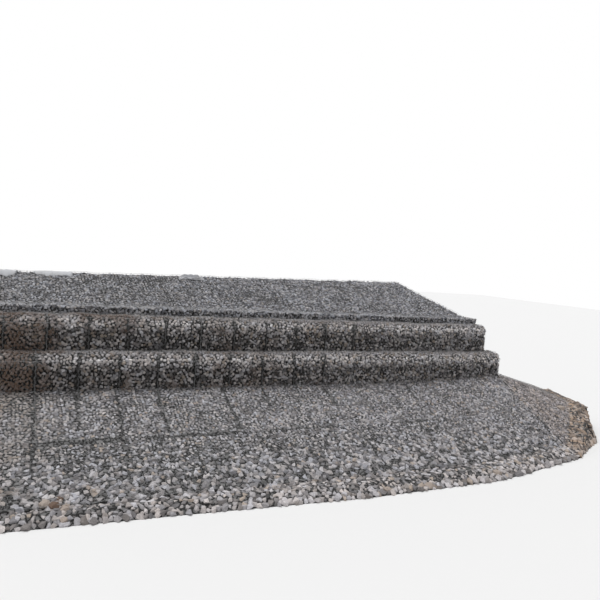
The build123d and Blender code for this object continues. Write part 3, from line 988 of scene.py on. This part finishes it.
# %% [markdown]
# The two courses share one shape: a swollen face, a rounded lip and a tread. Their flat map
# climbs the face, turns the quarter circle of the lip and runs in along the tread.

# %% Courses
COURSE_FILL = {
    "Spacing": 0.067, "Smallest": 0.064, "Largest": 0.12, "Sink": 0.05,
    "Seam Gap": 0.046, "Seam Edge": 0.015, "Settling": COURSE_SETTLING}


def round_profile(front, floor_level):
    def unroll(spot):
        rise = COURSE_HEIGHT - LIP_ROUND
        above_shoulder = spot.z - floor_level - rise
        if above_shoulder < 0:
            return spot.x, spot.z - floor_level
        if spot.y > front + LIP_ROUND:
            return spot.x, rise + LIP_ROUND * pi / 2 + spot.y - front - LIP_ROUND
        return spot.x, rise + LIP_ROUND * atan2(above_shoulder, front + LIP_ROUND - spot.y)
    return unroll


def looks_front_or_up(normal, centre):
    return abs(normal.x) < 0.9 and (normal.y < -0.2 or normal.z > 0.5)


for name, front, floor_level, finish, first, last, strong, seed in (
    ("lower_course", 0.0, FOOT_HEIGHT, lower_wall_stone, -8.0, 1.0, (-7.0, -3.0), 21),
    ("upper_course", STEP_BACK, UPPER_FLOOR, upper_wall_stone, -7.75, 2.25, (-5.75,), 22),
):
    limits = ((-FAR, -FAR, -FAR), (FAR, front + STEP_BACK, FAR))
    unroll = round_profile(front, floor_level)
    panel = skin(name, numbered(name + "_box_"), looks_front_or_up, unroll, limits)
    lines = ties(first, last, COURSE_HEIGHT, strong)
    stones_on(panel, name + "_stones", finish, seed, COURSE_FILL, lines)
    wires_on(panel, COURSE_SETTLING)

# %% [markdown]
# The mattress above them lies half a metre on the upper course and then goes up the bank.
# Its front edge, a hand high, is part of the same panel.

# %% Bank mattress
def up_bank(spot):
    if spot.y < BANK_FRONT + HAIR and spot.z < WALL_TOP + MATTRESS_HEIGHT - HAIR:
        return spot.x, spot.z - WALL_TOP - MATTRESS_HEIGHT
    return spot.x, spot.y - BANK_FRONT


def bank_faces(normal, centre):
    return normal.z > 0.5 or (normal.y < -0.9 and centre.y < BANK_FRONT + 2 * HAIR)


panel = skin("bank", numbered("bank_mattress_"), bank_faces, up_bank)
bank_lines = [((-5.2, 0.3), (-5.2, 1.5), 1)]
stones_on(panel, "bank_stones", bank_stone, 31, FINE, bank_lines)
wires_on(panel)

# %% [markdown]
# Round the corner the apron becomes a fan of three wedges, and loose rock lies round the
# fan and along the toe. Loose rock is larger, lies deeper, and has no mesh over it.

# %% Fan and loose rock
def from_above(spot):
    return spot.x, spot.y


def looks_out(normal, centre):
    return normal.z > 0.05


panel = skin("fan", numbered("fan_wedge_"), looks_up, from_above)
stones_on(panel, "fan_stones", fan_stone, 41, {**FINE, "Spacing": 0.068, "Largest": 0.16})
wires_on(panel)

for name, nodes, finish, sizes, seed in (
    ("toe_stones_left", numbered("toe_rock_1", "toe_rock_2"), toe_stone, (0.088, 0.11, 0.2, 0.2), 51),
    ("toe_stones_right", numbered("toe_rock_3", "toe_rock_4"), toe_stone, (0.092, 0.11, 0.23, 0.25), 52),
    ("fan_toe_stones", numbered("fan_toe_rock_"), fan_toe_stone, (0.098, 0.12, 0.26, 0.26), 53),
):
    values = dict(zip(("Spacing", "Smallest", "Largest", "Sink"), sizes))
    stones_on(skin(name, nodes, looks_out, from_above), name, finish, seed, values)

# %% [markdown]
# A few single rocks stand out by their colour: a cluster of rust brown and tan ones low on
# the apron at the left, tan ones along the toe, and one on the fan. Each is drawn larger
# than its neighbours with more corners, and sits half buried where it lies on the slope.

# %% Odd rocks
ODD_CORNERS = 16
ODD_SEED = 200
RUST_ROCKS = (((-6.72, -3.72, 0.21), (0.26, 0.22, 0.2)), ((-6.62, -3.56, 0.27), (0.18, 0.16, 0.14)))
TAN_ROCKS = (((-6.88, -3.66, 0.24), (0.24, 0.2, 0.18)), ((-6.54, -3.87, 0.19), (0.2, 0.18, 0.15)),
             ((-6.56, -4.1, 0.08), (0.15, 0.13, 0.13)), ((-5.93, -3.4, 0.31), (0.2, 0.16, 0.12)),
             ((0.57, -4.4, 0.06), (0.26, 0.22, 0.17)), ((1.8, -4.43, 0.05), (0.36, 0.26, 0.2)),
             ((4.12, -4.27, 0.1), (0.3, 0.24, 0.18)), ((9.84, -1.26, 0.82), (0.36, 0.3, 0.2)))

for name, rocks, finish in (("rust_rocks", RUST_ROCKS, rust_rock), ("tan_rocks", TAN_ROCKS, tan_rock)):
    together = bmesh.new()
    for k, (centre, size) in enumerate(rocks):
        single = angular_stone("scrap", ODD_SEED + k, ODD_CORNERS, size, centre)
        together.from_mesh(single)
        bpy.data.meshes.remove(single)
    mesh = bpy.data.meshes.new(name)
    together.to_mesh(mesh)
    together.free()
    mesh.materials.append(finish)
    keep_piece(add_object(name, mesh))
    print(name, len(rocks), "rocks", counts[name], "triangles")

# %% [markdown]
# The back and the two ends stood against the ground. They are built from the same stone
# and mesh, so that the object is whole from every side. The buried part of the back has no
# net, to spare triangles where nobody looks.

# %% Back and ends
BACK_FILL = {"Spacing": 0.13, "Smallest": 0.14, "Largest": 0.19}
END_FILL = {"Spacing": 0.1, "Smallest": 0.1, "Largest": 0.15}


def back_between(low, high):
    def wanted(normal, centre):
        return normal.y > 0.9 and centre.y > WALL_BACK - HAIR and low < centre.z < high
    return wanted


def end_on(side):
    def wanted(normal, centre):
        return normal.x * side > 0.85 and centre.x * side > WALL_RIGHT - 0.5
    return wanted


def from_behind(spot):
    return spot.x, spot.z


def from_one_end(spot):
    return spot.y, spot.z


walls = numbered("lower_course_box_", "upper_course_box_", "bottom_course_box_", "footing_course_box_")
with_ends = walls + numbered("apron_", "bank_mattress_", "toe_rock_")
for name, nodes, wanted, unroll, values, netted, seed in (
    ("back", walls, back_between(FOOT_HEIGHT, FAR), from_behind, BACK_FILL, True, 61),
    ("buried_back", walls, back_between(0, FOOT_HEIGHT), from_behind, BACK_FILL, False, 61),
    ("left_end", with_ends, end_on(-1), from_one_end, END_FILL, True, 62),
    ("right_end", with_ends, end_on(1), from_one_end, END_FILL, True, 63),
):
    panel = skin(name, nodes, wanted, unroll)
    stones_on(panel, name + "_stones", buried_stone, seed, values)
    wires_on(panel, netted=netted)

# %% [markdown]
# Felted filter cloth lies under the upper mattress and is turned up behind its crest. At
# the left it is long enough to turn over the crest and lie crumpled on the stones, in two
# flaps. The sheet is one grid: rows under the mattress, then rows that follow a path up the
# back of the crest, round its edge and forward over the lid. How far the cloth runs past
# the crest changes along it, and small waves across it are the wrinkles.

# %% Path of the filter cloth
CLOTH_THICK = 0.003
CURL = 0.03
CLEAR_OF_STONES = 0.045
OVER_LID = MATTRESS_LID + LID_SWELL + CLEAR_OF_STONES
UNDER_BED = 0.0025
TURNED_UP = 0.15
FLAPS = ((-8.2, -7.5, 0.34), (-7.0, -5.95, 0.24))
WRINKLE = 0.016
TIP_DROP = 0.045
UNDER_ROWS = 5
TURNED_ROWS = 20
COLUMNS = 220


def bank_width(x):
    return BANK_LEFT + (BANK_RIGHT - BANK_LEFT) * (x - WALL_LEFT) / UPPER_LENGTH


def bank_point(x, up, rise):
    return Vector((x, WALL_BACK + up * cos(BANK_RISE) - rise * sin(BANK_RISE),
                   WALL_TOP + up * sin(BANK_RISE) + rise * cos(BANK_RISE)))


def right_edge(y):
    foot = WALL_LEFT + UPPER_LENGTH
    crest_y = bank_point(0, bank_width(foot - BANK_SKEW), 0).y
    return foot - BANK_SKEW * (y - BANK_FRONT) / (crest_y - BANK_FRONT)


def swell(x, start, end, soft=0.12):
    rise = min(max((x - start) / soft + 0.5, 0), 1)
    fall = min(max((end - x) / soft + 0.5, 0), 1)
    return rise * rise * (3 - 2 * rise) * fall * fall * (3 - 2 * fall)


def ripple(x, length, seed):
    draw = np.random.default_rng(seed)
    return sum(sin(2 * pi * x / (length * f) + draw.uniform(0, 6)) for f in (1.0, 0.62, 1.7)) / 3


def turned_length(x):
    flap = sum(reach * swell(x, start, end) for start, end, reach in FLAPS)
    flap *= 1 + 0.3 * ripple(x, 0.35, 8)
    return TURNED_UP + 0.02 * ripple(x, 0.5, 7) + min(flap * 4, OVER_LID - TURNED_UP) + flap


def turned_spot(x, run, crest_up):
    bend = CURL * pi / 2
    over = max(run - (OVER_LID - CURL), 0)
    tip = min(over, bend) / CURL
    flat_run = max(over - bend, 0)
    forward = CURL * (1 - cos(tip)) + flat_run
    rise = min(run, OVER_LID - CURL) + CURL * sin(tip)
    crumple = 0.5 + 0.5 * ripple(x + 0.5 * run, 0.19, 9)
    out = CLOTH_THICK + crumple * WRINKLE * min(run / 0.05, 1) * cos(tip)
    lying = max(turned_length(x) - (OVER_LID - CURL) - bend, 0.01)
    to_tip = min(flat_run / lying, 1)
    mound = (0.015 + 0.08 * swell(x, -8.4, -7.55, 0.3)) * sin(pi * to_tip)
    rise += mound * (0.35 + 0.65 * crumple) - TIP_DROP * to_tip ** 2
    return bank_point(x, crest_up + out - forward, rise)


print("cloth turned up", TURNED_UP, "m, with", len(FLAPS), "flaps over the crest")

# %% [markdown]
# A sheet is a grid of spots, in one layer, that Solidify gives its thickness. Its flat map
# is the grid itself.

# %% Filter cloth
def sheet_piece(name, spots, thickness):
    rows, columns = len(spots), len(spots[0])
    mesh = bpy.data.meshes.new(name)
    quads = [(r * columns + c, r * columns + c + 1, (r + 1) * columns + c + 1, (r + 1) * columns + c)
             for r in range(rows - 1) for c in range(columns - 1)]
    mesh.from_pydata([tuple(spot) for row in spots for spot in row], [], quads)
    flat_layer = mesh.uv_layers.new(name="flat")
    for loop in mesh.loops:
        r, c = divmod(loop.vertex_index, columns)
        flat_layer.data[loop.index].uv = (c / (columns - 1), r / (rows - 1))
    guide = add_object(name, mesh)
    solid = guide.modifiers.new("thickness", "SOLIDIFY")
    solid.thickness = thickness
    solid.offset = 0
    return plain_piece(guide)


grid = []
for row in range(UNDER_ROWS + TURNED_ROWS):
    line = []
    share = min(row / UNDER_ROWS, 1)
    y = bank_point(0, share * bank_width(WALL_LEFT + UPPER_LENGTH - BANK_SKEW), 0).y
    for column in range(COLUMNS):
        x = WALL_LEFT + (right_edge(y) - WALL_LEFT) * column / (COLUMNS - 1)
        if row <= UNDER_ROWS:
            line.append(bank_point(x, share * bank_width(x), -UNDER_BED))
        else:
            run = turned_length(x) * (row - UNDER_ROWS) / (TURNED_ROWS - 1)
            line.append(turned_spot(x, run, bank_width(x)))
    grid.append(line)
filter_cloth = sheet_piece("filter_cloth_sheet", grid, CLOTH_THICK)

# %% [markdown]
# A spare length of the same cloth is bunched up on the crest. A bunch is a flat strip pushed
# together: it keeps its length and loses its width to ridges that lean on one another. The
# grid follows a wavy path across, so that the ridges overhang, and its height swells in the
# middle and dies away at the ends.

# %% Bunched cloth
FOLD_AT = -2.25
FOLD_LENGTH = 0.84
FOLD_WIDTH = 0.3
FOLD_HEIGHT = 0.15
FOLD_FROM_CREST = 0.17
FOLD_ROWS = 44
FOLD_COLUMNS = 56
RIDGES = 3.2
OVERHANG = 0.028


def bunch_spot(along, across):
    x = FOLD_AT + (along - 0.5) * FOLD_LENGTH + 0.012 * ripple(across, 0.4, 20)
    body = max(1 - abs(2 * along - 1) ** 3, 0) ** 0.6
    body *= 0.78 + 0.3 * ripple(along, 0.45, 21)
    dome = max(1 - (2 * across - 1) ** 2, 0) ** 0.55
    phase = 2 * pi * (RIDGES * across + 0.5 * ripple(along, 0.6, 22))
    ridge = 0.5 + 0.5 * sin(phase)
    lean = OVERHANG * cos(phase) * body
    crumple = ripple(along + 0.3 * across, 0.13, 23) * ripple(across + 0.2 * along, 0.3, 24)
    rise = body * dome * (0.55 + 0.45 * ridge) + 0.16 * crumple * dome
    up = bank_width(FOLD_AT) - FOLD_FROM_CREST + (across - 0.5) * FOLD_WIDTH * (0.75 + 0.25 * body) + lean
    return bank_point(x, up, MATTRESS_LID + LID_SWELL + 0.005 + FOLD_HEIGHT * max(rise, 0))


grid = [[bunch_spot(c / (FOLD_COLUMNS - 1), r / (FOLD_ROWS - 1)) for c in range(FOLD_COLUMNS)]
        for r in range(FOLD_ROWS)]
bunched = sheet_piece("bunched_cloth", grid, CLOTH_THICK)

# %% [markdown]
# Non-woven cloth has no threads to see: it is matted fibre, white where clean, with a fine
# felt grain and patches of grey soil worked into it.

# %% Cloth finish
FELT_PALE = (0.64, 0.648, 0.67, 1)
FELT_DULL = (0.46, 0.468, 0.50, 1)
FELT_SOILED = (0.46, 0.44, 0.42, 1)
FELT_SCALE = 260.0
SOIL_SCALE = 3.5
SOIL_STRENGTH = 0.55


def felt_finish(name):
    material, tree, shader = principled(name, rough=0.95)
    coords = put(tree, "ShaderNodeTexCoord").outputs["Object"]
    soil = remap(tree, noise(tree, coords, SOIL_SCALE, 4.0, 0.65), 0.5, 0.72, 0.0, SOIL_STRENGTH)
    felt = noise(tree, coords, FELT_SCALE, 3.0, 0.7)
    pale = blend_colour(tree, felt, FELT_DULL, FELT_PALE)
    tree.links.new(blend_colour(tree, soil, pale, FELT_SOILED), shader.inputs["Base Color"])
    shader.inputs["Sheen Weight"].default_value = 0.15
    bump(tree, shader, felt, strength=0.5, distance=0.002)
    return material


white_felt = felt_finish("white_felt")
for piece, node in ((filter_cloth, "filter_cloth"), (bunched, "cloth_fold")):
    piece.data.materials.clear()
    piece.data.materials.append(white_felt)
    keep_piece(piece)
    piece.data.polygons.foreach_set("use_smooth", [True] * len(piece.data.polygons))
    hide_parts(node)
print("both cloths", counts["filter_cloth_sheet"], counts["bunched_cloth"], "triangles")

# %% [markdown]
# Last, the nine stones that were copied are removed, and the triangles of the dressed
# object are counted.

# %% Finish
for shape in list(stone_shapes.objects):
    bpy.data.objects.remove(shape)
bpy.data.collections.remove(stone_shapes)
print("triangles", sum(counts.values()), "largest", max(counts.values()), max(counts, key=counts.get))
